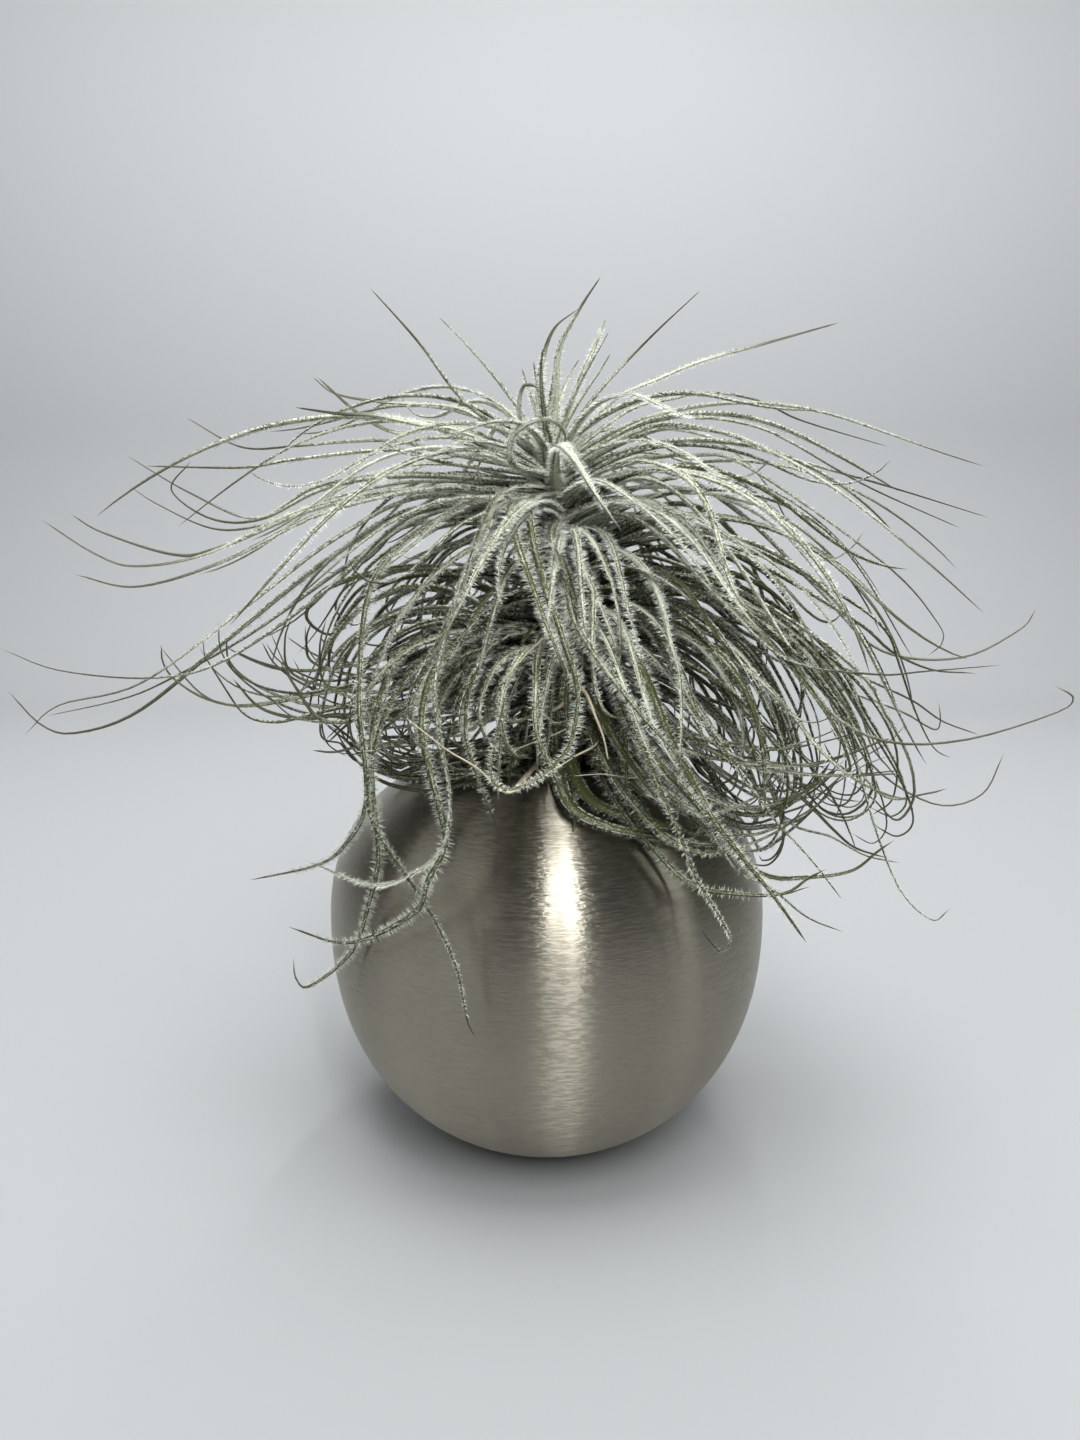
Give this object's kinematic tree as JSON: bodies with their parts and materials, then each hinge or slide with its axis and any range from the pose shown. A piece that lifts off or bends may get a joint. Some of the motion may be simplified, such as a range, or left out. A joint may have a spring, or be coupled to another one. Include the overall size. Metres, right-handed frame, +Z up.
{
  "type": "potted air plant",
  "caption": "Fuzzy silver-grey air plant on a leafy stem, its foot standing in the open mouth of a ball-shaped brushed steel vase.",
  "frame": {"origin": "centre of the vase's flat base, on the surface that it stands on", "axes": "+Z up, -Y towards the side that the picture shows, +X to that view's right"},
  "size_m": [0.3086, 0.1938, 0.2322],
  "materials": {
    "brushed_steel": "satin, brushed round the ball",
    "silvery_leaf": "matt grey-green under a white fuzz"
  },
  "bodies": {
    "root": {"ball_vase": "brushed_steel", "leafy_stem": "silvery_leaf"}
  },
  "joints": []
}
